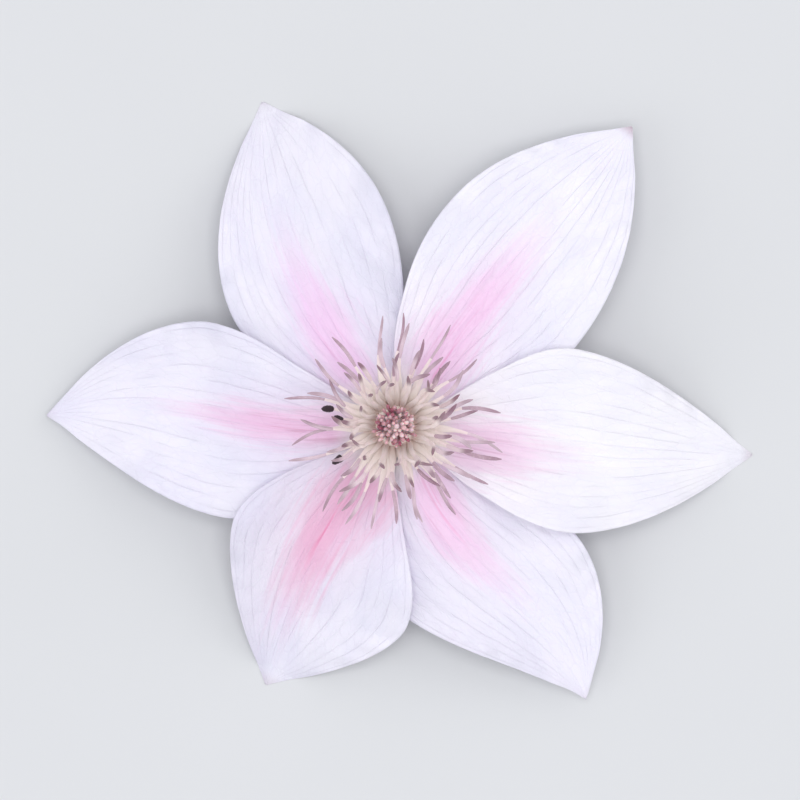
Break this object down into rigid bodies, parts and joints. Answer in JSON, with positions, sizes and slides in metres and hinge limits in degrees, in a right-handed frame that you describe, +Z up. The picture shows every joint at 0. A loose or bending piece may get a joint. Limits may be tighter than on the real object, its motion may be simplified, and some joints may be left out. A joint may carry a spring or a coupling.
{
  "type": "clematis flower",
  "caption": "Pale clematis bloom with pink midribs: overlapping pointed sepals, a brush of stamens and a tuft of styles, picked and lying face up on its bent stalk.",
  "frame": {"origin": "on the surface that the flower lies on, under the middle of the flower's bounding box", "axes": "+Z up, the way the flower faces; +Y towards the top of the picture, +X towards its right"},
  "size_m": [0.1286, 0.109, 0.0339],
  "materials": {
    "sepal": "satin",
    "stamen": "matte",
    "style": "matte",
    "stalk": "satin"
  },
  "bodies": {
    "root": {"stalk": "stalk", "sepal_1": "sepal", "sepal_2": "sepal", "sepal_3": "sepal", "sepal_4": "sepal", "sepal_5": "sepal", "sepal_6": "sepal", "stamens": "stamen", "styles": "style"}
  },
  "joints": []
}
